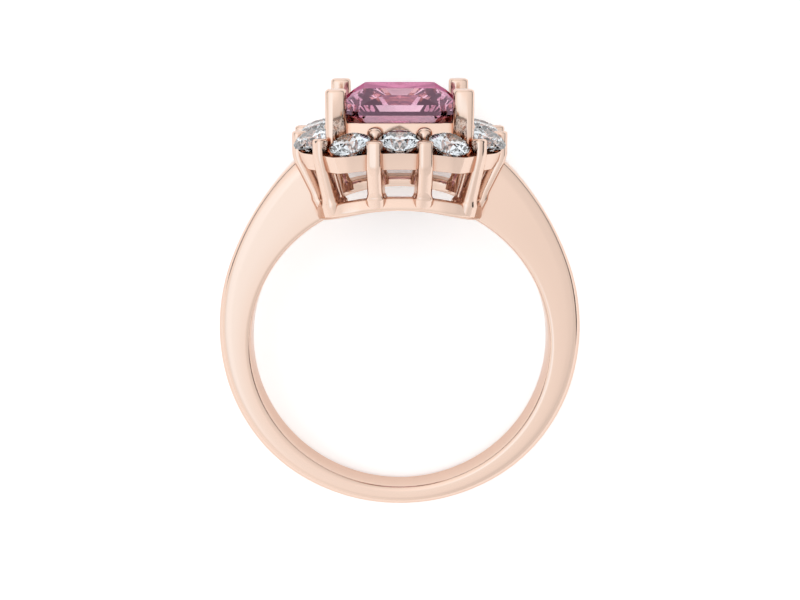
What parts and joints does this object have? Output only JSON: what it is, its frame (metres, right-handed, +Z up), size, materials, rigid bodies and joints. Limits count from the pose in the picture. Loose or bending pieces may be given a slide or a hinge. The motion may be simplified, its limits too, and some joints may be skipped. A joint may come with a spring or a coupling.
{
  "type": "halo ring",
  "caption": "Finger ring lying on its side: a pink square stone in tall claws, a halo of round clear stones, an open gallery and a shank that thickens towards the head.",
  "frame": {"origin": "centre of the finger hole, on its axis, half way across the shank's width", "axes": "the ring lies on its side: +Y points from the finger hole to the head, +Z is up, and +X runs across the finger hole; the finger hole's axis leans from +Z towards -Y because the head is wider than the shank"},
  "size_m": [0.0206, 0.0248, 0.0117],
  "materials": {
    "metal": "polished rose gold",
    "centre_stone": "faceted pink gemstone",
    "halo_stones": "faceted clear gemstone"
  },
  "bodies": {
    "root": {"ring_mount": "metal", "centre_stone": "centre_stone", "halo_stone_01": "halo_stones", "halo_stone_02": "halo_stones", "halo_stone_03": "halo_stones", "halo_stone_04": "halo_stones", "halo_stone_05": "halo_stones", "halo_stone_06": "halo_stones", "halo_stone_07": "halo_stones", "halo_stone_08": "halo_stones", "halo_stone_09": "halo_stones", "halo_stone_10": "halo_stones", "halo_stone_11": "halo_stones", "halo_stone_12": "halo_stones"}
  },
  "joints": []
}
